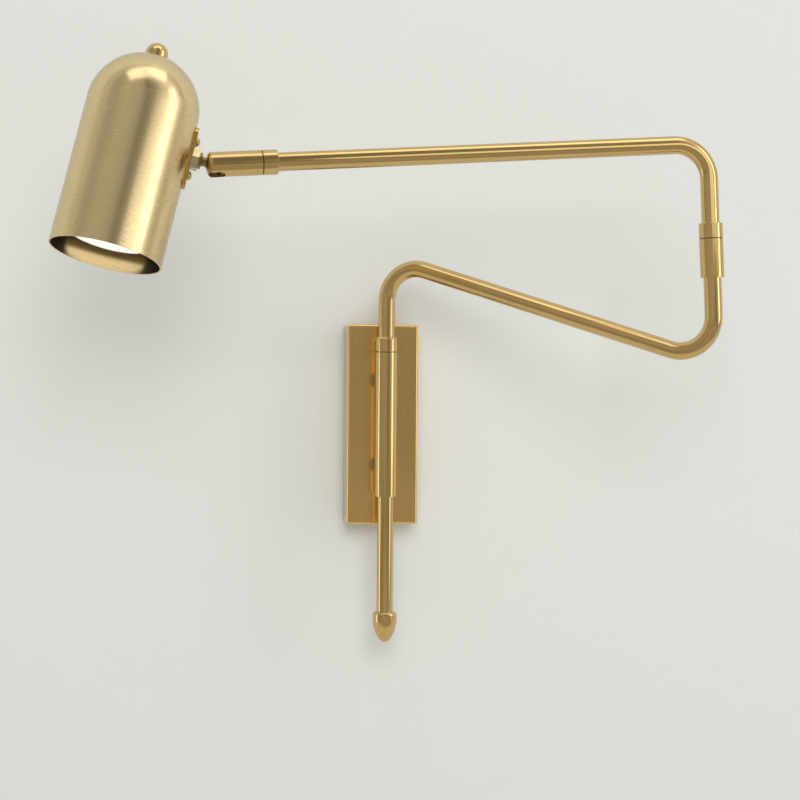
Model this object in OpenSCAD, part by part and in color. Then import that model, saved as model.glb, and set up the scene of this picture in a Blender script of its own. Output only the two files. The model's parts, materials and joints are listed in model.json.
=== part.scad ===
// Swing-arm wall light: two hinged arms of bent tube carry a spot shade on a ball joint.
// Origin: the middle of the wall bracket's back face. +X right, +Y into the wall, +Z up.

/* [Wall plate] */
// Width of the plate
plate_w = 52; // [44:1:80]
// Height of the plate
plate_h = 146; // [130:1:200]
// How far the plate stands out from the wall
plate_d = 25; // [22:1:32]
// Sheet thickness of the plate
plate_wall = 1.2; // [0.8:0.1:1.5]
// Radius of the plate's pressed edges
plate_edge_r = 1.8; // [1.6:0.1:4]
// Depth from the wall to the plate's two fixing screws
plate_screw_depth = 11; // [8:0.5:14]

/* [Wall bracket] */
// Width of the bracket strip
bracket_w = 26; // [22:1:34]
// Thickness of the bracket strip
bracket_t = 2; // [1.5:0.1:3]
// How far the bracket's two ears stand forward
ear_l = 15; // [15:0.5:18]
// Distance between the middles of the two wall screw slots
slot_spacing = 90; // [80:1:96]
// Length of a wall screw slot
slot_l = 12; // [8:1:16]
// Width of a wall screw slot
slot_w = 5; // [4:0.1:6]
// Diameter of the hole for the wires from the wall
wire_hole_d = 14; // [10:1:18]
// Height of the terminal block above the bracket's middle
terminal_z = 20; // [16:0.5:23]
// Distance from the bracket's middle down to the earth screw
earth_drop = 18; // [13:0.5:20]

/* [Wall pivot] */
// Distance from the wall to the arm's turning axis
axis_reach = 43; // [40:0.5:60]
// Height of the pivot's middle above the plate's middle
pivot_lift = 1; // [-5:0.5:5]
// Outside diameter of the pivot sleeve
sleeve_d = 16; // [15.5:0.1:20]
// Length of the pivot sleeve
sleeve_l = 104; // [96:1:130]
// Wall of the pivot sleeve
sleeve_wall = 1; // [0.6:0.1:1.2]
// Length of each bush in the sleeve
bush_l = 13; // [8:0.5:14]
// Distance between the two stand-off posts
post_spacing = 62; // [54:1:64]
// Diameter of a post
post_d = 14.5; // [12:0.5:15]
// Diameter of a post's threaded end
post_thread_d = 8; // [6:0.5:8.5]
// Bore of a post
post_bore_d = 4.2; // [3:0.1:5]
// Length of a post's threaded end behind the plate
post_thread_l = 9; // [7:0.5:12]
// Height of the collar on the tube
wall_collar_l = 10.4; // [6:0.1:20]
// Thickness of the washer under the collar
washer_t = 0.5; // [0.4:0.1:1]
// Angle through which the lower arm swings, half of it to each side of straight out from the wall
swing_travel = 180; // [165:1:180]

/* [Arm tube] */
// Outside diameter of the arm tube
tube_d = 12; // [11:0.1:12.5]
// Wall of the arm tube
tube_wall = 1; // [0.6:0.1:1.5]
// Radius of each bend, along the middle of the tube
bend_r = 23; // [16:0.5:28]

/* [Lower arm] */
// Height of the upper corner above the plate's middle
corner_z = 120.8; // [100:0.1:160]
// Distance from the wall pivot's axis to the elbow
lower_reach = 244.5; // [160:0.5:320]
// How far the sloping run drops from corner to corner
slope_drop = 73.3; // [40:0.1:100]
// How far the tube's tail hangs below the plate's middle
tail_drop = 134.5; // [90:0.5:180]
// Length of the finial
finial_l = 22.4; // [20:0.1:23.5]
// Largest diameter of the finial
finial_d = 17.5; // [15:0.1:20]

/* [Elbow] */
// Backward lean of the elbow's axis
elbow_lean = 2.7; // [0:0.1:6]
// Height of the elbow sleeve's lower end above the lower corner
elbow_start = 57.7; // [50:0.1:90]
// Length of the elbow sleeve
elbow_sleeve_l = 25.8; // [22:0.1:40]
// Length of lower tube inside the elbow sleeve
elbow_seat_l = 11; // [8:0.5:12]
// Height of the elbow collar
elbow_collar_l = 9.9; // [6:0.1:16]
// Height of the upper corner above the lower one
elbow_rise = 147.3; // [126:0.1:180]
// Angle through which the upper arm swings, half of it to each side of straight
elbow_travel = 300; // [290:1:320]

/* [Upper arm] */
// Downward slope of the upper arm from square to the elbow's axis
upper_droop = 1.86; // [0:0.01:5]
// Distance from the elbow's axis to the end collar
upper_reach = 292.7; // [200:0.1:340]
// Length of the end collar
end_collar_l = 9.5; // [6:0.1:14]

/* [Ball joint] */
// Outside diameter of the ball socket
socket_d = 16; // [15.8:0.1:16.4]
// Length of the ball socket
socket_l = 34.2; // [32:0.1:50]
// Radius on the socket's open end
socket_end_r = 2.5; // [1:0.1:2.5]
// Distance from the socket's open end to the ball's centre
ball_inset = 4.2; // [4:0.05:4.5]
// Diameter of the ball
ball_d = 11.8; // [11.5:0.1:11.8]
// Diameter of the stem's neck
neck_d = 6; // [4.5:0.1:6.2]
// Bore of the stem for the lamp's wires
stem_bore_d = 2.8; // [2:0.1:3]
// Diameter of the stem's flange
flange_d = 10.6; // [9:0.1:11]
// Thickness of the stem's flange
flange_t = 1.4; // [0.8:0.1:1.8]
// Distance from the ball's centre to the shade's side plate
stem_reach = 14.3; // [14.1:0.1:17]
// Diameter of the stem's threaded end
shank_d = 6; // [5:0.1:6.5]
// Length of the relief slot in the socket
relief_l = 10.4; // [9:0.1:12]
// Angle through which the socket turns on the arm, half of it to each side of slot down
roll_travel = 320; // [180:5:320]

/* [Shade side plate] */
// Length of the side plate
side_plate_l = 41; // [36:0.5:60]
// Width of the side plate
side_plate_w = 11; // [9:0.5:16]
// Thickness of the side plate
side_plate_t = 1.8; // [1:0.1:2.5]
// Distance between the side plate's two screws
side_screw_spacing = 22.5; // [20.5:0.5:26]
// Width across the flats of the hex bush
hex_bush_af = 12.5; // [11:0.1:14]

/* [Shade] */
// Outside diameter of the shade
shade_d = 71.5; // [66:0.5:90]
// Wall of the shade
shade_wall = 1; // [0.8:0.1:1.5]
// Length of the shade's straight side below the dome
shade_side_l = 97.5; // [94:0.5:120]
// Height of the side plate's middle above the mouth
side_plate_z = 74.2; // [68:0.1:78]
// Diameter of the cap nut on the dome
cap_nut_d = 14.6; // [12:0.1:18]
// Height of the cap nut's domed part
cap_nut_h = 7.3; // [4:0.1:7.5]

/* [Lamp] */
// Diameter of the lamp
lamp_d = 50; // [48:0.5:52]
// How far the lamp's face sits inside the mouth
lamp_recess = 10; // [6:0.5:14]
// Length of the lamp without its pins
lamp_l = 47; // [44:0.5:49]
// Distance between the lamp's two pins
pin_spacing = 10; // [9:0.5:10.5]

/* [Rest pose] */
// Turn of the lower arm about the wall pivot
swing_rest = -33.3; // [-80:0.1:-10]
// Turn of the upper arm about the elbow
elbow_rest = -141.3; // [-144:0.1:-60]
// Turn of the socket about the arm
roll_rest = 22.3; // [-60:0.1:60]
// Tilt of the stem in the socket
tilt_rest = 19.1; // [-60:0.1:24]
// Turn of the shade about the stem
spin_rest = -12.9; // [-60:0.1:60]

/* [Fits] */
// Radial clearance of a turning fit
run_fit = 0.05; // [0.02:0.01:0.08]
// Radial clearance of a fixed fit
seat_fit = 0.02; // [0.01:0.01:0.04]
// Gap between faces that turn past each other
face_gap = 0.2; // [0.1:0.05:0.3]
// Gap between moving pieces that never touch
free_gap = 0.35; // [0.3:0.05:0.5]

/* [Hidden] */
$fn = 96;
cut = 1;

brass = [0.71, 0.58, 0.34];
pale_brass = [0.78, 0.68, 0.47];
steel = [0.72, 0.72, 0.70];
nylon = [0.22, 0.20, 0.17];
ceramic = [0.93, 0.92, 0.88];
glow_white = [0.98, 0.98, 0.95];

small_screw_d = 3;
thread_gap = 0.1;
driver_w = 0.7;
driver_depth = 0.9;
driver_share = 0.6;
small_nut_af = 5.5;
small_nut_t = 2.4;
pan_head_d = 5.8;
pan_head_h = 2.4;
plate_screw_l = 7;
earth_screw_d = 4;
earth_head_z = 6;
earth_nut_af = 7;
earth_nut_t = 3;
pole_pitch = 8;
pole_bore_d = 3.4;
terminal_depth = 11;
terminal_h = 14;
clamp_screw_l = 3;

tube_r = tube_d / 2;
tube_bore_r = tube_r - tube_wall;
pivot_r = tube_r + run_fit;
seated_r = tube_r + seat_fit;
joint_gap = washer_t + face_gap;
washer_inset = 0.4;
bend_draw = 0.01;
bend_lap = 1;

bracket_h = plate_h - 2 * plate_wall - 2 * free_gap;
post_hole_r = post_thread_d / 2 + seat_fit;
post_nut_af = 13;
post_nut_t = 4;
sleeve_low = pivot_lift - sleeve_l / 2;
sleeve_high = pivot_lift + sleeve_l / 2;
sleeve_bore_r = sleeve_d / 2 - sleeve_wall;
collar_low = sleeve_high + joint_gap;
wall_collar_bevel = 1.5;
collar_bevel = 0.3;

dog_d = 2;
dog_reach = 0.8 * tube_wall;
dog_tip_r = tube_r - dog_reach;
groove_r = dog_tip_r - free_gap;
stop_margin = 2;
stop_screw_l = 10;
screw_sink = 0.3;
spigot_l = 12.5;
spigot_wall = 1.6;
spigot_bore_r = tube_bore_r - spigot_wall;
plug_l = 9;

slope_angle = atan2(slope_drop, lower_reach);
corner_turn = 90 + slope_angle;
foot_turn = corner_turn + elbow_lean;
head_turn = 90 + upper_droop;
slope_l = norm([lower_reach, slope_drop]) - tangent_l(corner_turn) - tangent_l(foot_turn);
foot_z = corner_z - slope_drop;
shoulder_l = 5.5;
shoulder_r = 2.4;
finial_curve_r = 25.7;

elbow_seat_z = elbow_start + elbow_seat_l;
elbow_top = elbow_start + elbow_sleeve_l;
groove_drop = 6;
elbow_groove_z = elbow_top - groove_drop;
upper_start = elbow_top + joint_gap;

arm_end = upper_reach + end_collar_l;
socket_start = arm_end + joint_gap;
socket_groove_x = groove_drop;
ball_x = socket_start + socket_l - ball_inset;
ball_r = ball_d / 2;
cavity_r = ball_r + run_fit;
mouth_r = 5.1;
mouth_z = sqrt(cavity_r * cavity_r - mouth_r * mouth_r);
mouth_flare_l = ball_inset - mouth_z + cut;
seat_ring_l = 8;
seat_ring_lap = 3.6;

hex_bush_t = 4.3;
flange_cone_l = 0.6;
flange_face = stem_reach - hex_bush_t - face_gap;
bush_neck_wall = 0.9;
bush_neck_r = shank_d / 2 + bush_neck_wall;
stem_washer_d = 11;
stem_washer_t = 1;
locknut_af = 10;
locknut_t = 3;
thread_past = 1;

shade_r = shade_d / 2;
shade_bore_r = shade_r - shade_wall;
shade_x = stem_reach + side_plate_t + shade_r;
shade_top = shade_side_l + shade_r;
washer_x = stem_reach + side_plate_t + shade_wall + sag(shade_bore_r, stem_washer_d / 2) + face_gap;
shank_end = washer_x + stem_washer_t + locknut_t + thread_past;
side_nut_x = side_plate_t + shade_wall + sag(shade_bore_r, small_nut_af / 2);

rod_d = 6;
rod_hole_r = rod_d / 2 + thread_gap;
rod_nut_af = 10;
rod_nut_t = 3;
cap_base_l = 2.6;
cap_thread_l = 5;
cap_dome_r = (cap_nut_d * cap_nut_d / 4 + cap_nut_h * cap_nut_h) / (2 * cap_nut_h);
holder_l = 31;
holder_w = 19;
holder_h = 19;
pin_d = 3;
pin_head_d = 5;
pin_head_l = 2.4;
pin_l = 7;
pin_hole_depth = 8.5;
rim_l = 5;
lens_t = 2;
lens_r = lamp_d / 2 - 1.2;
lamp_neck_r = 11;
lamp_neck_l = 16;
lamp_waist_r = 15;
lamp_waist_l = 24;
lamp_back = lamp_recess + lamp_l;
holder_front = lamp_back + free_gap;
holder_back = holder_front + holder_h;
bridge_t = 1.5;
bridge_rise = 9;
bridge_w = 12;
bridge_z = holder_back + bridge_rise;
leg_lap = 7;
leg_x = holder_l / 2 + seat_fit;
dome_nut_z = shade_top - shade_wall - sag(shade_bore_r, rod_nut_af / 2 / cos(30)) - rod_nut_t;
rod_low = bridge_z - rod_nut_t - thread_past;

function tangent_l(turn) = bend_r * tan(turn / 2);
function sag(r, half) = r - sqrt(r * r - half * half);
function crossing_angle(r, d) = asin((d / 2 + face_gap) / r);
function post_z(side) = pivot_lift + side * post_spacing / 2;

// Places along the chain of joints, each in the frame of the one before
module at_post(side) translate([0, -plate_d, post_z(side)]) along_y() children();
module at_pivot() translate([0, -axis_reach, 0]) children();
module at_lower_arm() at_pivot() rotate([0, 0, swing_rest]) children();
module at_elbow_foot()
    at_lower_arm() translate([lower_reach, 0, foot_z]) rotate([0, -elbow_lean, 0]) children();
module at_upper_arm() at_elbow_foot() rotate([0, 0, elbow_rest]) children();
module at_arm_line() at_upper_arm() translate([0, 0, elbow_rise]) rotate([0, upper_droop, 0]) children();
module at_arm_end() at_arm_line() translate([arm_end, 0, 0]) along_x() children();
module at_socket() at_arm_line() rotate([roll_rest, 0, 0]) children();
module at_stem() at_socket() translate([ball_x, 0, 0]) rotate([0, -tilt_rest, 0]) children();
module at_side_plate() at_stem() rotate([spin_rest, 0, 0]) translate([stem_reach, 0, 0]) children();
module at_shade() at_side_plate() translate([shade_x - stem_reach, 0, -side_plate_z]) children();

// Turns what stands along +Z to lie along +X or +Y
module along_x() rotate([0, 90, 0]) children();
module along_y() rotate([-90, 0, 0]) children();

module ring(r, bore_r, h) difference() {
    cylinder(r = r, h = h);
    translate([0, 0, -cut]) cylinder(r = bore_r, h = h + 2 * cut);
}

// Part of a ring, from one angle to another, as high to each side of the origin
module ring_sector(r, bore_r, h, from, to) rotate([0, 0, from])
    rotate_extrude(angle = to - from) translate([bore_r, -h / 2]) square([r - bore_r, h]);

module hex_nut(across, bore_d, h) difference() {
    cylinder(d = across / cos(30), h = h, $fn = 6);
    translate([0, 0, -cut]) cylinder(d = bore_d, h = h + 2 * cut);
}

// Flat shape with rounded corners
module round_rect(w, h, r) {
    square([w - 2 * r, h], center = true);
    square([w, h - 2 * r], center = true);
    for (x = [-1, 1], y = [-1, 1]) translate([x * (w / 2 - r), y * (h / 2 - r)]) circle(r);
}

// Flat shape with two round ends
module stadium(l, w) {
    square([l - w, w], center = true);
    for (x = [-1, 1]) translate([x * (l - w) / 2, 0]) circle(d = w);
}

// Pan-head screw: the head's seat is at the origin, the shank points down
module pan_screw(l, shank_r, head_d, head_h) {
    rim_h = head_h / 3;
    cap_h = head_h - rim_h;
    cap_r = (head_d * head_d / 4 + cap_h * cap_h) / (2 * cap_h);
    translate([0, 0, -l]) cylinder(r = shank_r, h = l + rim_h / 2);
    difference() {
        union() {
            cylinder(d = head_d, h = rim_h);
            intersection() {
                translate([0, 0, rim_h]) cylinder(d = head_d, h = cap_h);
                translate([0, 0, head_h - cap_r]) sphere(cap_r);
            }
        }
        for (a = [0, 90]) rotate(a) driver_slot(head_d * driver_share, head_h);
    }
}

// Groove for a screwdriver in a face at height z
module driver_slot(l, z)
    translate([-l / 2, -driver_w / 2, z - driver_depth]) cube([l, driver_w, 2 * driver_depth]);

// Headless screw along +Z with a dog at its inner end and a six-sided recess at its outer end
module grub(body_r, from, to) difference() {
    union() {
        translate([0, 0, dog_tip_r]) cylinder(d = dog_d, h = to - dog_tip_r);
        translate([0, 0, from]) cylinder(r = body_r, h = to - from);
    }
    translate([0, 0, to - driver_depth]) cylinder(d = dog_d, h = 2 * driver_depth, $fn = 6);
}

// Bend of a rod of radius r that starts along +Z and turns towards +X; what follows starts at its end.
// It is drawn a little slimmer than the straights and laps into both.
module bent(turn, r) translate([bend_r, 0, 0]) {
    rotate([90, 0, 180]) rotate([0, 0, -bend_lap])
        rotate_extrude(angle = turn + 2 * bend_lap) translate([bend_r, 0]) circle(r - bend_draw);
    rotate([0, turn, 0]) translate([-bend_r, 0, 0]) children();
}

// Lower arm's path as a rod of radius r, lengthened by over at both ends
module lower_rod(r, over) {
    corner_start = corner_z - tangent_l(corner_turn);
    translate([0, 0, corner_start]) {
        mirror([0, 0, 1]) cylinder(r = r, h = corner_start + tail_drop + over);
        bent(corner_turn, r) {
            cylinder(r = r, h = slope_l);
            translate([0, 0, slope_l]) rotate([0, 0, 180]) bent(foot_turn, r)
                cylinder(r = r, h = elbow_seat_z - tangent_l(foot_turn) + over);
        }
    }
}

// Upper arm's path as a rod of radius r, lengthened by over at both ends
module upper_rod(r, over) {
    head_start = elbow_rise - tangent_l(head_turn);
    translate([0, 0, head_start]) {
        mirror([0, 0, 1]) cylinder(r = r, h = head_start - upper_start + over);
        bent(head_turn, r) cylinder(r = r, h = arm_end - tangent_l(head_turn) + over);
    }
}

// Collar seated on the tube, with a bevel round its upper edge
module collar(l, bevel) rotate_extrude() polygon([
    [seated_r, 0], [sleeve_d / 2, 0], [sleeve_d / 2, l - bevel], [sleeve_d / 2 - bevel, l], [seated_r, l]
]);

module joint_washer() ring(sleeve_d / 2 - washer_inset, tube_r + free_gap, washer_t);

// Turned plug, seated in a tube below the origin and turning in a sleeve above it
module spigot(l, groove_z, travel, groove_angle) {
    half = travel / 2 + crossing_angle(groove_r, dog_d) + stop_margin;
    difference() {
        union() {
            translate([0, 0, -plug_l]) cylinder(r = tube_bore_r - seat_fit, h = plug_l);
            cylinder(r = tube_r, h = l);
        }
        translate([0, 0, -plug_l - cut]) cylinder(r = spigot_bore_r, h = plug_l + l + 2 * cut);
        translate([0, 0, groove_z]) rotate(groove_angle)
            ring_sector(tube_r + cut, groove_r, dog_d + 2 * face_gap, -half, half);
    }
}

module on_bracket(x, z) translate([x, 0, z]) along_y() children();

module wall_bracket() color(steel) {
    ear_z = bracket_h / 2 - bracket_t;
    difference() {
        translate([-bracket_w / 2, -bracket_t, -bracket_h / 2]) cube([bracket_w, bracket_t, bracket_h]);
        for (side = [-1, 1]) on_bracket(0, side * slot_spacing / 2)
            linear_extrude(3 * bracket_t, center = true) rotate(90) stadium(slot_l, slot_w);
        on_bracket(0, 0) cylinder(d = wire_hole_d, h = 3 * bracket_t, center = true);
        on_bracket(0, -earth_drop) cylinder(d = earth_screw_d, h = 3 * bracket_t, center = true);
        for (side = [-1, 1]) on_bracket(side * pole_pitch / 2, terminal_z)
            cylinder(d = small_screw_d, h = 3 * bracket_t, center = true);
    }
    for (side = [0, 1]) mirror([0, 0, side]) difference() {
        translate([-bracket_w / 2, -ear_l, ear_z]) cube([bracket_w, ear_l - bracket_t, bracket_t]);
        translate([0, -plate_screw_depth, ear_z])
            cylinder(d = small_screw_d, h = 3 * bracket_t, center = true);
    }
}

// Box open towards +Y, with all its edges rounded
module pressed_box(w, h, d, r) intersection() {
    rotate([90, 0, 0]) linear_extrude(d) round_rect(w, h, r);
    linear_extrude(h + 2 * cut, center = true) round_rect(w, 2 * d, r);
    along_x() linear_extrude(w + 2 * cut, center = true) round_rect(h, 2 * d, r);
}

module backplate() color(brass) difference() {
    pressed_box(plate_w, plate_h, plate_d, plate_edge_r);
    translate([0, cut, 0]) pressed_box(plate_w - 2 * plate_wall, plate_h - 2 * plate_wall,
        plate_d - plate_wall + cut, plate_edge_r - plate_wall);
    for (side = [-1, 1]) at_post(side) cylinder(r = post_hole_r, h = 3 * plate_wall, center = true);
    for (side = [0, 1]) mirror([0, 0, side]) at_plate_screw() countersunk(thread_gap, plate_wall);
}
module at_plate_screw() translate([0, -plate_screw_depth, plate_h / 2]) children();

// Countersunk screw's shape, face up at the origin, wider by gap and carried on up by rise
module countersunk(gap, rise) {
    shank_r = small_screw_d / 2 + gap;
    translate([0, 0, -plate_screw_l]) cylinder(r = shank_r, h = plate_screw_l);
    translate([0, 0, -plate_wall]) cylinder(r1 = shank_r, r2 = shank_r + plate_wall, h = plate_wall);
    if (rise > 0) cylinder(r = shank_r + plate_wall, h = rise);
}

module plate_screws() color(brass) for (side = [0, 1]) mirror([0, 0, side]) at_plate_screw() difference() {
    countersunk(-seat_fit, 0);
    driver_slot(small_screw_d, 0);
}

module earth_screw() color(brass) translate([0, -bracket_t, -earth_drop]) rotate([90, 0, 0]) {
    translate([0, 0, earth_head_z])
        pan_screw(bracket_t + earth_head_z, earth_screw_d / 2 - seat_fit, earth_nut_af, pan_head_h);
    hex_nut(earth_nut_af, earth_screw_d, earth_nut_t);
}

module at_terminal(pole)
    translate([pole * pole_pitch, -bracket_t - terminal_depth, terminal_z]) rotate([90, 0, 0]) children();

module terminal_block() color(ceramic) difference() {
    block_w = 3 * pole_pitch;
    translate([-block_w / 2, -bracket_t - terminal_depth, terminal_z - terminal_h / 2])
        cube([block_w, terminal_depth, terminal_h]);
    for (pole = [-1:1]) at_terminal(pole) {
        translate([0, 0, -terminal_depth / 2]) cylinder(d = pole_bore_d, h = terminal_depth);
        translate([0, 0, -terminal_depth / 2]) rotate([90, 0, 0])
            cylinder(d = pole_bore_d, h = 2 * terminal_h, center = true);
    }
    for (pole = [-0.5, 0.5]) at_terminal(pole) {
        cylinder(r = small_screw_d / 2 + thread_gap, h = 3 * terminal_depth, center = true);
        translate([0, 0, -pan_head_h]) cylinder(r = pole_bore_d / 2 + thread_gap, h = 2 * pan_head_h);
    }
}

module terminal_screws() color(steel) {
    fixing_l = terminal_depth + bracket_t - pan_head_h;
    for (pole = [-0.5, 0.5]) at_terminal(pole) translate([0, 0, -pan_head_h])
        pan_screw(fixing_l, small_screw_d / 2 - seat_fit, pole_bore_d, pan_head_h);
    for (pole = [-1:1]) at_terminal(pole) translate([0, 0, -clamp_screw_l - driver_depth]) difference() {
        cylinder(r = pole_bore_d / 2 - seat_fit, h = clamp_screw_l);
        driver_slot(pole_bore_d, clamp_screw_l);
    }
}

module post(side) difference() {
    at_post(side) {
        mirror([0, 0, 1]) cylinder(d = post_d, h = axis_reach - plate_d);
        cylinder(d = post_thread_d, h = post_thread_l);
    }
    at_pivot() cylinder(r = sleeve_d / 2 + seat_fit, h = 2 * plate_h, center = true);
    at_post(side) post_bore();
}
// Bore right through a post, which ends at the pivot's axis
module post_bore() translate([0, 0, plate_d - axis_reach]) cylinder(d = post_bore_d, h = axis_reach);

module upper_post() color(brass) post(1);
module lower_post() color(brass) post(-1);

module post_nuts() color(steel) for (side = [-1, 1]) at_post(side) translate([0, 0, plate_wall]) {
    ring(post_nut_af / 2, post_hole_r, washer_t);
    translate([0, 0, washer_t]) hex_nut(post_nut_af, 2 * post_hole_r, post_nut_t);
}

module wall_sleeve() color(brass) difference() {
    at_pivot() translate([0, 0, sleeve_low]) ring(sleeve_d / 2, sleeve_bore_r, sleeve_l);
    for (side = [-1, 1]) at_post(side) post_bore();
}

module wall_bushes() color(nylon) at_pivot() for (z = [sleeve_low, sleeve_high - bush_l])
    translate([0, 0, z]) ring(sleeve_bore_r - seat_fit, pivot_r, bush_l);

module stop_screw() color(steel) at_pivot() translate([0, 0, post_z(-1)]) along_y()
    grub(post_bore_d / 2 - seat_fit, tube_r + free_gap, tube_r + stop_screw_l);

module wall_washer() color(nylon) at_pivot() translate([0, 0, sleeve_high]) joint_washer();

module lower_arm_tube() color(brass) at_lower_arm() difference() {
    lower_rod(tube_r, 0);
    lower_rod(tube_bore_r, cut);
    translate([0, 0, post_z(1)]) tube_window(post_bore_d);
    translate([0, 0, post_z(-1)]) tube_window(dog_d);
}

// Window in the tube that leaves what crosses it room for the whole swing
module tube_window(crossing_d) {
    half = swing_travel / 2 + crossing_angle(tube_bore_r, crossing_d) + stop_margin;
    ring_sector(tube_r + cut, tube_bore_r - cut, crossing_d + 2 * face_gap, 180 - half, 180 + half);
}

module wall_collar() color(brass) at_lower_arm() translate([0, 0, collar_low])
    collar(wall_collar_l, wall_collar_bevel);

module finial() color(brass) at_lower_arm() translate([0, 0, -tail_drop]) {
    rotate_extrude() finial_outline();
    cylinder(r = tube_bore_r - seat_fit, h = plug_l);
}

// Half outline of the finial below the origin: rounded shoulder, bullet curve and round nose
module finial_outline() {
    r = finial_d / 2;
    curve_l = finial_l - shoulder_l;
    nose_r = (2 * finial_curve_r * r - r * r - curve_l * curve_l) / (2 * (finial_curve_r - curve_l));
    nose_z = -finial_l + nose_r;
    meet_z = -shoulder_l + (nose_z + shoulder_l) * finial_curve_r / (finial_curve_r - nose_r);
    translate([0, -shoulder_l]) square([r, shoulder_l - shoulder_r]);
    translate([0, -shoulder_l]) square([r - shoulder_r, shoulder_l]);
    translate([r - shoulder_r, -shoulder_r]) circle(shoulder_r);
    intersection() {
        translate([0, meet_z]) square([2 * r, -shoulder_l - meet_z]);
        translate([r - finial_curve_r, -shoulder_l]) circle(finial_curve_r, $fn = 180);
    }
    intersection() {
        translate([0, -finial_l - cut]) square([2 * r, finial_l + cut + meet_z]);
        translate([0, nose_z]) circle(nose_r);
    }
}

module elbow_sleeve() color(brass) at_elbow_foot() difference() {
    translate([0, 0, elbow_start]) ring(sleeve_d / 2, pivot_r, elbow_sleeve_l);
    translate([0, 0, elbow_groove_z]) along_y() cylinder(d = small_screw_d, h = sleeve_d);
}

module elbow_stop_screw() color(steel) at_elbow_foot() translate([0, 0, elbow_groove_z]) along_y()
    grub(small_screw_d / 2 - seat_fit, tube_r + free_gap, sleeve_d / 2 - screw_sink);

module elbow_washer() color(nylon) at_elbow_foot() translate([0, 0, elbow_top]) joint_washer();

module upper_arm_tube() color(brass) at_upper_arm() difference() {
    upper_rod(tube_r, 0);
    upper_rod(tube_bore_r, cut);
}

module elbow_collar() color(brass) at_upper_arm() translate([0, 0, upper_start])
    collar(elbow_collar_l, collar_bevel);

module elbow_spigot() color(steel) at_upper_arm() translate([0, 0, upper_start]) mirror([0, 0, 1]) {
    l = upper_start - elbow_seat_z - free_gap;
    spigot(l, upper_start - elbow_groove_z, elbow_travel, 90);
}

module end_collar() color(brass) at_arm_end() mirror([0, 0, 1]) collar(end_collar_l, collar_bevel);

module end_spigot() color(steel) at_arm_end()
    spigot(joint_gap + spigot_l, joint_gap + socket_groove_x, roll_travel, 180);

module socket_washer() color(nylon) at_arm_end() joint_washer();

module ball_socket() color(brass) at_socket() difference() {
    translate([socket_start, 0, 0]) along_x() difference() {
        rotate_extrude() socket_outline();
        translate([0, 0, -cut]) cylinder(r = pivot_r, h = socket_l - ball_inset + cut);
        translate([0, 0, socket_l - ball_inset]) sphere(cavity_r);
        translate([0, 0, socket_l - ball_inset + mouth_z])
            cylinder(r1 = mouth_r, r2 = mouth_r + mouth_flare_l, h = mouth_flare_l);
    }
    translate([socket_start + socket_groove_x, 0, 0]) cylinder(d = small_screw_d, h = socket_d);
    relief_slot();
}

module socket_outline() {
    square([socket_d / 2, socket_l - socket_end_r]);
    square([socket_d / 2 - socket_end_r, socket_l]);
    translate([socket_d / 2 - socket_end_r, socket_l - socket_end_r]) circle(socket_end_r);
}

// Slot in the socket's side that lets the neck fold down square to the arm
module relief_slot() {
    w = neck_d + 2 * free_gap;
    slot_x = socket_start + socket_l - relief_l + w / 2;
    translate([slot_x, -w / 2, -socket_d]) cube([relief_l, w, socket_d]);
    translate([slot_x, 0, -socket_d]) cylinder(d = w, h = socket_d);
}

module seat_ring() color(steel) at_socket() difference() {
    translate([ball_x - seat_ring_lap - seat_ring_l, 0, 0]) along_x()
        ring(pivot_r - seat_fit, spigot_bore_r, seat_ring_l);
    translate([ball_x, 0, 0]) sphere(cavity_r);
}

module socket_stop_screw() color(steel) at_socket() translate([socket_start + socket_groove_x, 0, 0])
    grub(small_screw_d / 2 - seat_fit, tube_r + free_gap, socket_d / 2 - screw_sink);

module ball_stem() color(steel) at_stem() along_x() difference() {
    union() {
        sphere(ball_r);
        cylinder(d = neck_d, h = flange_face);
        translate([0, 0, flange_face - flange_t - flange_cone_l])
            cylinder(d1 = neck_d, d2 = flange_d, h = flange_cone_l);
        translate([0, 0, flange_face - flange_t]) cylinder(d = flange_d, h = flange_t);
        translate([0, 0, flange_face - flange_t])
            cylinder(d = shank_d, h = shank_end - flange_face + flange_t);
    }
    cylinder(d = stem_bore_d, h = 4 * shank_end, center = true);
}

module stem_washer() color(steel) at_stem() translate([washer_x, 0, 0]) along_x()
    ring(stem_washer_d / 2, shank_d / 2 + seat_fit, stem_washer_t);

module stem_locknut() color(steel) at_stem() translate([washer_x + stem_washer_t, 0, 0]) along_x()
    hex_nut(locknut_af, shank_d + 2 * seat_fit, locknut_t);

module at_side_screws() at_side_plate() for (side = [-1, 1])
    translate([0, 0, side * side_screw_spacing / 2]) along_x() children();

module side_plate() color(brass) difference() {
    at_side_plate() along_x() linear_extrude(side_plate_t + 2 * cut) stadium(side_plate_l, side_plate_w);
    at_shade() cylinder(r = shade_r + seat_fit, h = 2 * shade_top, center = true, $fn = 240);
    at_side_plate() along_x() cylinder(r = bush_neck_r + seat_fit, h = 6 * side_plate_t, center = true);
    at_side_screws() cylinder(r = small_screw_d / 2 + thread_gap, h = 6 * side_plate_t, center = true);
}

module hex_bush() color(steel) at_side_plate() along_x() difference() {
    union() {
        translate([0, 0, -hex_bush_t]) rotate(30)
            cylinder(d = hex_bush_af / cos(30), h = hex_bush_t, $fn = 6);
        translate([0, 0, -cut]) cylinder(r = bush_neck_r, h = cut + side_plate_t + shade_wall);
    }
    cylinder(r = shank_d / 2 + run_fit, h = 4 * hex_bush_t, center = true);
}

module side_plate_screws() color(brass) {
    l = side_nut_x + small_nut_t + thread_past / 2;
    at_side_screws() mirror([0, 0, 1]) pan_screw(l, small_screw_d / 2 - seat_fit, pan_head_d, pan_head_h);
}

module side_plate_nuts() color(steel) at_side_screws() translate([0, 0, side_nut_x])
    hex_nut(small_nut_af, small_screw_d, small_nut_t);

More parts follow.
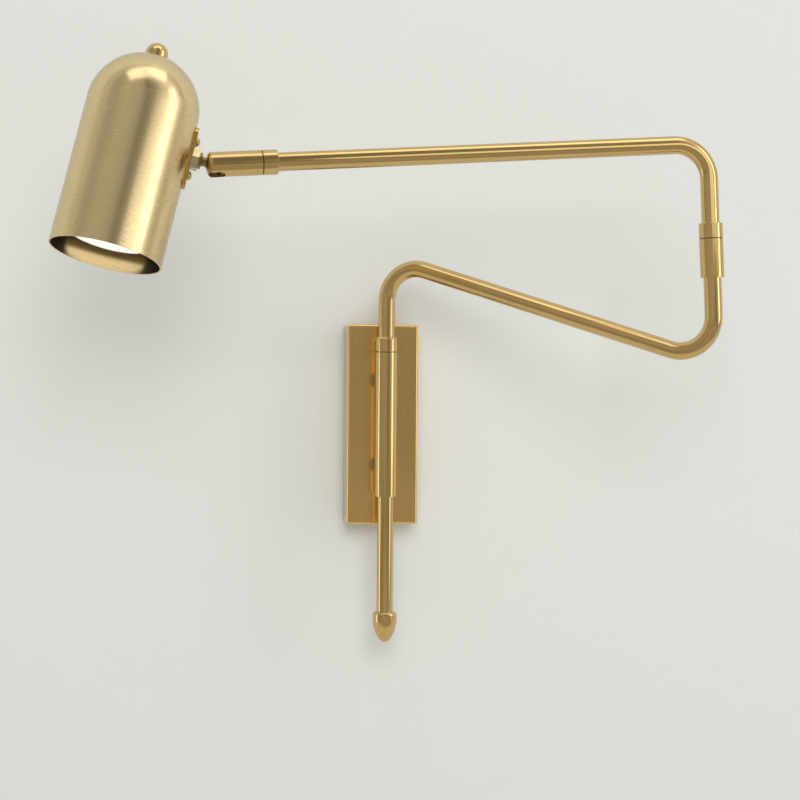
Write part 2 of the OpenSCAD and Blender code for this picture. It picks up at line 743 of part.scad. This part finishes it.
module shade() color(pale_brass) difference() {
    at_shade() rotate_extrude() difference() {
        shade_outline(shade_r);
        translate([0, -cut]) square([shade_bore_r, 2 * cut]);
        shade_outline(shade_bore_r);
    }
    at_shade() translate([0, 0, shade_side_l]) cylinder(r = rod_hole_r, h = shade_d);
    at_side_plate() along_x() cylinder(r = bush_neck_r + seat_fit, h = shade_r);
    at_side_screws() cylinder(r = small_screw_d / 2 + thread_gap, h = shade_r / 2);
}

// Half outline of the shade's straight side and dome, filled
module shade_outline(r) {
    square([r, shade_side_l]);
    translate([0, shade_side_l]) intersection() {
        circle(r);
        square(2 * r);
    }
}

module cap_nut() color(pale_brass) at_shade() difference() {
    translate([0, 0, shade_top - sag(shade_r, cap_nut_d / 2)]) {
        cylinder(d = cap_nut_d, h = cap_base_l + seat_fit);
        translate([0, 0, cap_base_l]) intersection() {
            cylinder(d = cap_nut_d, h = cap_nut_h);
            translate([0, 0, cap_nut_h - cap_dome_r]) sphere(cap_dome_r);
        }
    }
    translate([0, 0, shade_side_l]) sphere(shade_r + seat_fit);
    translate([0, 0, shade_side_l]) cylinder(r = rod_d / 2 + seat_fit, h = shade_r + cap_thread_l);
}

module hanger_rod() color(steel) at_shade() translate([0, 0, rod_low])
    cylinder(d = rod_d, h = shade_top + cap_thread_l - thread_past - rod_low);

module rod_nuts() color(steel) at_shade() for (z = [dome_nut_z, bridge_z + bridge_t, bridge_z - rod_nut_t])
    translate([0, 0, z]) hex_nut(rod_nut_af, 2 * rod_hole_r, rod_nut_t);

module holder_bridge() color(steel) at_shade() difference() {
    union() {
        translate([-leg_x - bridge_t, -bridge_w / 2, bridge_z])
            cube([2 * (leg_x + bridge_t), bridge_w, bridge_t]);
        for (side = [0, 1]) mirror([side, 0, 0]) translate([leg_x, -bridge_w / 2, holder_back - leg_lap])
            cube([bridge_t, bridge_w, bridge_rise + leg_lap + bridge_t]);
    }
    cylinder(r = rod_hole_r, h = shade_top);
    at_holder_screws() cylinder(r = small_screw_d / 2 + thread_gap, h = 6 * bridge_t, center = true);
}
module at_holder_screws() for (side = [0, 1]) mirror([side, 0, 0])
    translate([leg_x + bridge_t, 0, holder_back - leg_lap / 2]) along_x() children();

module holder_screws() color(steel) at_shade() at_holder_screws()
    pan_screw(bridge_t + leg_lap / 2, small_screw_d / 2 - seat_fit, pan_head_d, pan_head_h);

module lampholder() color(ceramic) at_shade() difference() {
    translate([0, 0, holder_front]) linear_extrude(holder_h) round_rect(holder_l, holder_w, holder_w / 4);
    for (side = [-1, 1]) translate([side * pin_spacing / 2, 0, holder_front - cut])
        cylinder(r = pin_head_d / 2 + thread_gap, h = pin_hole_depth + cut);
    at_holder_screws() cylinder(r = small_screw_d / 2, h = 3 * leg_lap, center = true);
}

module lamp_body() color(ceramic) at_shade() translate([0, 0, lamp_recess]) difference() {
    rotate_extrude() polygon([
        [0, 0], [lamp_d / 2, 0], [lamp_d / 2, rim_l], [lamp_waist_r, lamp_l - lamp_waist_l],
        [lamp_neck_r, lamp_l - lamp_neck_l], [lamp_neck_r, lamp_l], [0, lamp_l]
    ]);
    translate([0, 0, -cut]) cylinder(r = lens_r + seat_fit, h = lens_t + cut);
    for (side = [-1, 1]) translate([side * pin_spacing / 2, 0, lamp_l - pin_l / 2])
        cylinder(r = pin_d / 2 + seat_fit, h = pin_l);
}
module lamp_lens() color(glow_white) at_shade() translate([0, 0, lamp_recess])
    cylinder(r = lens_r, h = lens_t);

module lamp_pins() color(steel) at_shade() for (side = [-1, 1])
    translate([side * pin_spacing / 2, 0, lamp_back - pin_l / 2]) {
        cylinder(d = pin_d, h = pin_l / 2 + pin_l);
        translate([0, 0, pin_l * 1.5 - pin_head_l]) cylinder(d = pin_head_d, h = pin_head_l);
    }

wall_bracket();
backplate();
plate_screws();
earth_screw();
terminal_block();
terminal_screws();
upper_post();
lower_post();
post_nuts();
wall_sleeve();
wall_bushes();
stop_screw();
wall_washer();
lower_arm_tube();
wall_collar();
finial();
elbow_sleeve();
elbow_stop_screw();
elbow_washer();
upper_arm_tube();
elbow_collar();
elbow_spigot();
end_collar();
end_spigot();
socket_washer();
ball_socket();
seat_ring();
socket_stop_screw();
ball_stem();
stem_washer();
stem_locknut();
side_plate();
hex_bush();
side_plate_screws();
side_plate_nuts();
shade();
cap_nut();
hanger_rod();
rod_nuts();
holder_bridge();
holder_screws();
lampholder();
lamp_body();
lamp_lens();
lamp_pins();
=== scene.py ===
import json
import math

import bpy
from mathutils import Matrix, Vector


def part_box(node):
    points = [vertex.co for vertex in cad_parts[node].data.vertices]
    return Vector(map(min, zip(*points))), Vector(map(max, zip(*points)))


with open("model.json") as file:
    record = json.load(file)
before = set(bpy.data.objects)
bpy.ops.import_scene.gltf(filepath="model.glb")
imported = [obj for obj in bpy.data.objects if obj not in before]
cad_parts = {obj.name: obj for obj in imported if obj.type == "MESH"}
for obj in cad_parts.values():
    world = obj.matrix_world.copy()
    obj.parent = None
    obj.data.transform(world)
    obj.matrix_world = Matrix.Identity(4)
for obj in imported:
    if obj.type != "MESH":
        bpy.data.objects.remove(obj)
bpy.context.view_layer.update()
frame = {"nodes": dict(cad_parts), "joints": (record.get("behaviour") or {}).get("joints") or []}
nodes = frame["nodes"]

MM = 0.001

# Camera: the photograph's place and direction, with an 800 by 800 image
CAMERA_AT = Vector((-191.0, -1474.4, 61.5)) * MM
CAMERA_YAW = 8.0
CAMERA_PITCH = -1.7
CAMERA_ROLL = 0.42
CAMERA_LENS = 90.0
CAMERA_SENSOR = 36.0

# Stage
WALL_COLOUR = (0.765, 0.775, 0.75)
FLOOR_COLOUR = (0.74, 0.74, 0.71)
FLOOR_Z = -0.42
WALL_Y = 0.0006
STAGE_HALF = 6.0
CARD_COLOUR = (0.40, 0.385, 0.36)
CARD_LIFT = 0.004
LIGHTS_AIM = Vector((0.0, -0.12, 0.08))

# Grey room round the object: (degrees to the right of the front, level)
ROOM_TINT = (1.0, 0.985, 0.95)
ROOM_LEVELS = (
    (-180.0, 0.52), (-110.0, 0.62), (-94.0, 0.70), (-84.0, 0.55), (-74.0, 0.42), (-58.0, 0.40),
    (-46.0, 0.47), (-8.0, 0.45), (4.0, 0.38), (11.0, 0.14), (18.0, 0.26), (30.0, 0.32),
    (46.0, 0.70), (62.0, 1.0), (76.0, 1.0), (88.0, 0.55), (98.0, 0.36), (112.0, 0.28), (180.0, 0.42),
)

# Linear colours of the finishes
BRASS = (0.67, 0.435, 0.12)
PLATE_BRASS = (0.84, 0.53, 0.14)
SHADE_BRASS = (0.80, 0.605, 0.275)
# Near-black brass for the posts: painted shade for the dark gap between the plate and the sleeve, not the
# posts' own colour
POST_PAINTED_SHADE = (0.09, 0.05, 0.02)
STEEL = (0.56, 0.55, 0.52)
BRONZE = (0.32, 0.23, 0.09)
BUSH_METAL = (0.66, 0.52, 0.295)
NYLON = (0.03, 0.026, 0.02)
CERAMIC = (0.80, 0.78, 0.72)
LAMP_WHITE = (0.82, 0.82, 0.80)
LAMP_GLOW = (1.0, 0.98, 0.92)
LAMP_GLOW_STRENGTH = 0.6

# Brush marks: noise per metre, metres of noise for each radian round the axis, and depth in metres
BRUSH_SCALE = 1500.0
BRUSH_PER_RADIAN = 0.004
BRUSH_DEPTH = 0.0000012
DRAWN_DEPTH = 0.000001

# Radius between the shade's inner and outer faces
SHADE_MID_WALL = 0.0353


def direction(yaw, pitch):
    """Unit vector that looks along +Y at yaw 0, turns right with yaw and up with pitch, in degrees."""
    a, e = math.radians(yaw), math.radians(pitch)
    return Vector((math.sin(a) * math.cos(e), math.cos(a) * math.cos(e), math.sin(e)))


def make_camera():
    data = bpy.data.cameras.new("camera")
    data.lens = CAMERA_LENS
    data.sensor_width = CAMERA_SENSOR
    data.clip_start, data.clip_end = 0.01, 50.0
    camera = bpy.data.objects.new("camera", data)
    bpy.context.scene.collection.objects.link(camera)
    forward = direction(CAMERA_YAW, CAMERA_PITCH)
    level = forward.to_track_quat("-Z", "Y").to_matrix().to_4x4()
    camera.matrix_world = (
        Matrix.Translation(CAMERA_AT) @ level @ Matrix.Rotation(math.radians(CAMERA_ROLL), 4, "Z")
    )
    bpy.context.scene.camera = camera


class Nodes:
    """A material's node tree, with short calls that add and link nodes."""

    def __init__(self, tree):
        self.tree = tree
        tree.nodes.clear()

    def add(self, kind, settings=None, **inputs):
        node = self.tree.nodes.new(kind)
        for name, value in (settings or {}).items():
            setattr(node, name, value)
        for name, value in inputs.items():
            self.set(node.inputs[name.replace("_", " ")], value)
        return node

    def set(self, socket, value):
        if isinstance(value, bpy.types.NodeSocket):
            self.tree.links.new(value, socket)
        elif isinstance(value, tuple) and len(value) == 3 and len(getattr(socket, "default_value", ())) == 4:
            socket.default_value = (*value, 1.0)
        else:
            socket.default_value = value

    def math(self, operation, *values):
        node = self.add("ShaderNodeMath", {"operation": operation})
        for socket, value in zip(node.inputs, values):
            self.set(socket, value)
        return node.outputs[0]

    def vector(self, operation, a, b=(0.0, 0.0, 0.0)):
        node = self.add("ShaderNodeVectorMath", {"operation": operation})
        self.set(node.inputs[0], a)
        self.set(node.inputs[1], b)
        return node.outputs["Value" if operation in ("DOT_PRODUCT", "LENGTH") else "Vector"]

    def remap(self, value, low, high):
        """Carries 0.35 to 0.65, where noise mostly lies, to low and high."""
        node = self.add(
            "ShaderNodeMapRange", Value=value, From_Min=0.35, From_Max=0.65, To_Min=low, To_Max=high
        )
        return node.outputs["Result"]

    def blend(self, factor, a, b):
        node = self.add("ShaderNodeMix", {"data_type": "RGBA"})
        self.set(node.inputs[0], factor)
        self.set(node.inputs[6], (*a, 1.0))
        self.set(node.inputs[7], (*b, 1.0))
        return node.outputs[2]

    def noise(self, at, scale, detail=3.0):
        node = self.add("ShaderNodeTexNoise", Vector=at, Scale=scale, Detail=detail)
        return node.outputs[0]


# Brass under a clear lacquer
LACQUER = {
    "Metallic": 1.0,
    "Specular_Tint": (0.6, 0.55, 0.45),
    "Coat_Weight": 1.0,
    "Coat_Roughness": 0.07,
    "Coat_IOR": 1.8,
}


def shade_of(colour, share):
    return tuple(c * share for c in colour)


def new_material(name):
    material = bpy.data.materials.new(name)
    material.use_nodes = True
    return material, Nodes(material.node_tree)


def finish_shader(n, colour, roughness, bump, bump_height, **settings):
    shader = n.add("ShaderNodeBsdfPrincipled", Base_Color=colour, Roughness=roughness, **settings)
    tilt = n.add("ShaderNodeBump", Strength=1.0, Distance=bump_height, Height=bump)
    n.set(shader.inputs["Normal"], tilt.outputs[0])
    output = n.add("ShaderNodeOutputMaterial")
    n.set(output.inputs["Surface"], shader.outputs[0])
    return shader


def round_axis(n, point, axis):
    """Noise coordinates round an axis, the direction round it in world space, and the distance from it."""
    at = n.add("ShaderNodeTexCoord").outputs["Object"]
    arm = n.vector("SUBTRACT", at, tuple(point))
    height = n.vector("DOT_PRODUCT", arm, tuple(axis))
    around = n.vector("CROSS_PRODUCT", tuple(axis), arm)
    to_world = {"vector_type": "VECTOR", "convert_from": "OBJECT", "convert_to": "WORLD"}
    tangent = n.add("ShaderNodeVectorTransform", to_world)
    n.set(tangent.inputs[0], around)
    side = Vector(axis).orthogonal().normalized()
    over = Vector(axis).cross(side)
    x = n.vector("DOT_PRODUCT", arm, tuple(side))
    y = n.vector("DOT_PRODUCT", arm, tuple(over))
    turn = n.math("ARCTAN2", y, x)
    place = n.add("ShaderNodeCombineXYZ", X=n.math("MULTIPLY", turn, BRUSH_PER_RADIAN), Z=height)
    return place.outputs[0], tangent.outputs[0], n.vector("LENGTH", around)


def turned_brass(
    name, colour, point, axis, roughness, stretch, grain=0.93, coat_roughness=0.07, inside=None
):
    """Lacquered brass brushed round an axis; within the radius inside it is left smooth."""
    material, n = new_material(name)
    place, tangent, radius = round_axis(n, point, axis)
    line = n.noise(place, BRUSH_SCALE, 6.0)
    cloud = n.noise(n.add("ShaderNodeTexCoord").outputs["Object"], 30.0)
    rough = n.math("ADD", n.remap(line, roughness - 0.04, roughness + 0.04), n.remap(cloud, -0.02, 0.02))
    height = line
    if inside is not None:
        outer = n.math("GREATER_THAN", radius, inside)
        rough = n.math("MULTIPLY", rough, n.math("MULTIPLY_ADD", outer, 0.35, 0.65))
        height = n.math("MULTIPLY", line, outer)
    wear = n.math("MULTIPLY", n.remap(line, 0.0, 1.0), n.remap(cloud, 0.4, 1.0))
    tone = n.blend(wear, colour, shade_of(colour, grain))
    shader = finish_shader(n, tone, rough, height, BRUSH_DEPTH, **LACQUER)
    shader.inputs["Coat Roughness"].default_value = coat_roughness
    shader.inputs["Anisotropic"].default_value = stretch
    shader.inputs["Anisotropic Rotation"].default_value = 0.25
    n.set(shader.inputs["Tangent"], tangent)
    return material


def drawn_brass(name, colour, stretch, roughness):
    """Brass drawn or rubbed along one direction: stretch is the noise's scale along X, Y and Z."""
    material, n = new_material(name)
    at = n.add("ShaderNodeTexCoord").outputs["Object"]
    along = n.add("ShaderNodeMapping", Vector=at, Scale=stretch).outputs[0]
    line = n.noise(along, 1.0, 4.0)
    cloud = n.noise(at, 28.0)
    tone = n.blend(n.remap(cloud, 0.0, 1.0), colour, shade_of(colour, 0.95))
    rough = n.math("ADD", n.remap(line, roughness - 0.03, roughness + 0.03), n.remap(cloud, -0.015, 0.015))
    finish_shader(n, tone, rough, line, DRAWN_DEPTH, **LACQUER)
    return material


def plain_metal(name, colour, roughness):
    material, n = new_material(name)
    at = n.add("ShaderNodeTexCoord").outputs["Object"]
    grain = n.noise(at, 1800.0, 2.0)
    cloud = n.noise(at, 120.0)
    tone = n.blend(n.remap(cloud, 0.0, 1.0), colour, shade_of(colour, 0.85))
    rough = n.math("ADD", n.remap(grain, roughness - 0.05, roughness + 0.05), n.remap(cloud, -0.03, 0.03))
    finish_shader(n, tone, rough, grain, 0.000006, Metallic=1.0)
    return material


def dull_material(name, colour, roughness, grain_scale, grain_height):
    material, n = new_material(name)
    at = n.add("ShaderNodeTexCoord").outputs["Object"]
    grain = n.noise(at, grain_scale, 3.0)
    cloud = n.noise(at, 60.0)
    tone = n.blend(n.remap(cloud, 0.0, 1.0), colour, shade_of(colour, 0.93))
    finish_shader(n, tone, n.remap(grain, roughness - 0.05, roughness + 0.06), grain, grain_height)
    return material


def glowing_diffuser(name):
    material, n = new_material(name)
    at = n.add("ShaderNodeTexCoord").outputs["Object"]
    grain = n.noise(at, 900.0, 2.0)
    tone = n.blend(n.remap(grain, 0.0, 1.0), LAMP_WHITE, shade_of(LAMP_WHITE, 0.95))
    shader = finish_shader(n, tone, n.remap(grain, 0.3, 0.42), grain, 0.00002)
    shader.inputs["Emission Color"].default_value = (*LAMP_GLOW, 1.0)
    shader.inputs["Emission Strength"].default_value = LAMP_GLOW_STRENGTH
    return material


def node_centre(name):
    low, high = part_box(name)
    return (low + high) / 2


def paint(material, *names):
    for name in names:
        data = nodes[name].data
        data.materials.clear()
        data.materials.append(material)


def joint(name):
    return next(j for j in frame["joints"] if j["name"] == name)


def paint_all():
    elbow = joint("elbow_swing")
    roll = joint("socket_roll")
    cap = node_centre("cap_nut")
    lens = node_centre("lamp_lens")
    shade_axis = (cap - lens).normalized()
    pivot = Vector(joint("arm_swing")["pos_m"])
    up = Vector((0.0, 0.0, 1.0))

    paint(drawn_brass("plate_brass", PLATE_BRASS, (1800.0, 1800.0, 60.0), 0.24), "backplate")
    paint(drawn_brass("arm_brass", BRASS, (260.0, 260.0, 60.0), 0.15), "lower_arm_tube", "upper_arm_tube")
    paint(turned_brass("sleeve_brass", BRASS, pivot, up, 0.17, 0.4), "wall_sleeve", "wall_collar", "finial")
    paint(turned_brass("elbow_brass", BRASS, elbow["pos_m"], elbow["axis"], 0.19, 0.4),
          "elbow_sleeve", "elbow_collar")
    paint(turned_brass("socket_brass", BRASS, roll["pos_m"], roll["axis"], 0.18, 0.4),
          "end_collar", "ball_socket")
    paint(turned_brass("shade_brass", SHADE_BRASS, lens, shade_axis, 0.28, 0.7,
                       grain=0.88, coat_roughness=0.25, inside=SHADE_MID_WALL), "shade")
    paint(turned_brass("cap_brass", BRASS, lens, shade_axis, 0.17, 0.3), "cap_nut")
    paint(plain_metal("fitting_brass", BRASS, 0.24),
          "plate_screws", "side_plate", "side_plate_screws", "earth_screw")
    # The posts get near-black brass as painted shade for the gap they sit in
    paint(plain_metal("post_painted_shade", POST_PAINTED_SHADE, 0.16), "upper_post", "lower_post")
    paint(plain_metal("bush_metal", BUSH_METAL, 0.2), "hex_bush")
    paint(plain_metal("stem_bronze", BRONZE, 0.3), "ball_stem")
    paint(plain_metal("steel", STEEL, 0.3),
          "wall_bracket", "terminal_screws", "post_nuts", "stop_screw", "elbow_stop_screw", "elbow_spigot",
          "end_spigot", "seat_ring", "socket_stop_screw", "stem_washer", "stem_locknut", "side_plate_nuts",
          "hanger_rod", "rod_nuts", "holder_bridge", "holder_screws", "lamp_pins")
    paint(dull_material("nylon", NYLON, 0.5, 900.0, 0.00001), "wall_bushes", "wall_washer", "elbow_washer",
          "socket_washer")
    paint(dull_material("ceramic", CERAMIC, 0.22, 500.0, 0.00001), "terminal_block", "lampholder")
    paint(dull_material("lamp_shell", LAMP_WHITE, 0.42, 700.0, 0.00001), "lamp_body")
    paint(glowing_diffuser("lamp_diffuser"), "lamp_lens")


def make_plane(name, corners, material):
    mesh = bpy.data.meshes.new(name)
    mesh.from_pydata(corners, [], [(0, 1, 2, 3)])
    mesh.materials.append(material)
    obj = bpy.data.objects.new(name, mesh)
    bpy.context.scene.collection.objects.link(obj)
    return obj


def stage_material(name, colour, see_through_back):
    material, n = new_material(name)
    face = n.add("ShaderNodeBsdfDiffuse", Color=colour)
    output = n.add("ShaderNodeOutputMaterial")
    if see_through_back:
        clear = n.add("ShaderNodeBsdfTransparent")
        mix = n.add("ShaderNodeMixShader")
        n.set(mix.inputs[0], n.add("ShaderNodeNewGeometry").outputs["Backfacing"])
        n.set(mix.inputs[1], face.outputs[0])
        n.set(mix.inputs[2], clear.outputs[0])
        face = mix
    n.set(output.inputs["Surface"], face.outputs[0])
    return material


def make_dark_card():
    """Grey card over the front of the floor that only reflections see."""
    z = FLOOR_Z + CARD_LIFT
    corners = [(-3.0, -4.0, z), (3.0, -4.0, z), (3.0, -0.5, z), (-3.0, -0.5, z)]
    card = make_plane("dark_card", corners, stage_material("dark_card", CARD_COLOUR, False))
    card.visible_camera = card.visible_diffuse = card.visible_shadow = card.visible_transmission = False


def make_stage():
    half = STAGE_HALF
    wall = [(-half, WALL_Y, FLOOR_Z), (half, WALL_Y, FLOOR_Z), (half, WALL_Y, half), (-half, WALL_Y, half)]
    floor = [(-half, -half, FLOOR_Z), (half, -half, FLOOR_Z), (half, half, FLOOR_Z), (-half, half, FLOOR_Z)]
    make_dark_card()
    make_plane("wall", wall, stage_material("wall_paint", WALL_COLOUR, True))
    make_plane("floor", floor, stage_material("floor_paint", FLOOR_COLOUR, False))


def make_world():
    world = bpy.data.worlds.new("world")
    world.use_nodes = True
    bpy.context.scene.world = world
    n = Nodes(world.node_tree)
    look = n.add("ShaderNodeSeparateXYZ", Vector=n.add("ShaderNodeTexCoord").outputs["Generated"])
    front = n.math("MULTIPLY", look.outputs["Y"], -1.0)
    turn = n.math("ARCTAN2", look.outputs["X"], front)
    ramp = n.add("ShaderNodeValToRGB", Fac=n.math("ADD", n.math("DIVIDE", turn, 2 * math.pi), 0.5))
    stops = ramp.color_ramp.elements
    while len(stops) < len(ROOM_LEVELS):
        stops.new(0.5)
    for stop, (degrees, level) in zip(stops, ROOM_LEVELS):
        stop.position = degrees / 360.0 + 0.5
        stop.color = (*shade_of(ROOM_TINT, level), 1.0)
    room = n.add("ShaderNodeBackground", Color=ramp.outputs["Color"], Strength=1.0)
    output = n.add("ShaderNodeOutputWorld")
    n.set(output.inputs["Surface"], room.outputs[0])


def softbox(name, yaw, pitch, distance, width, height, level, lights=True, mirrored=True):
    """Area light round the object, yaw degrees to the right of the front, facing its middle.

    It lights dull surfaces where lights is set, and shows in glossy ones where mirrored is set.
    """
    data = bpy.data.lights.new(name, "AREA")
    data.shape = "RECTANGLE"
    data.size, data.size_y = width, height
    data.energy = level * math.pi * width * height
    lamp = bpy.data.objects.new(name, data)
    lamp.visible_camera = False
    lamp.visible_diffuse = lights
    lamp.visible_glossy = mirrored
    bpy.context.scene.collection.objects.link(lamp)
    a, e = math.radians(yaw), math.radians(pitch)
    away = Vector((math.sin(a) * math.cos(e), -math.cos(a) * math.cos(e), math.sin(e)))
    lamp.location = LIGHTS_AIM + away * distance
    lamp.rotation_mode = "QUATERNION"
    lamp.rotation_quaternion = (-away).to_track_quat("-Z", "Y")


def make_lights():
    softbox("right_box", 63.0, 12.0, 2.4, 0.6, 2.2, 1.7)
    softbox("top_box", 10.0, 74.0, 2.2, 2.4, 1.0, 1.1)
    softbox("left_box", -91.0, -13.7, 0.93, 0.1, 0.4, 2.6, lights=False)
    softbox("front_box", 29.5, 16.5, 0.82, 0.53, 0.25, 0.95, lights=False)
    softbox("fill_box", -2.0, 22.0, 3.2, 1.7, 1.4, 5.4, mirrored=False)


bpy.context.scene.view_settings.view_transform = "Standard"
make_camera()
paint_all()
make_stage()
make_world()
make_lights()
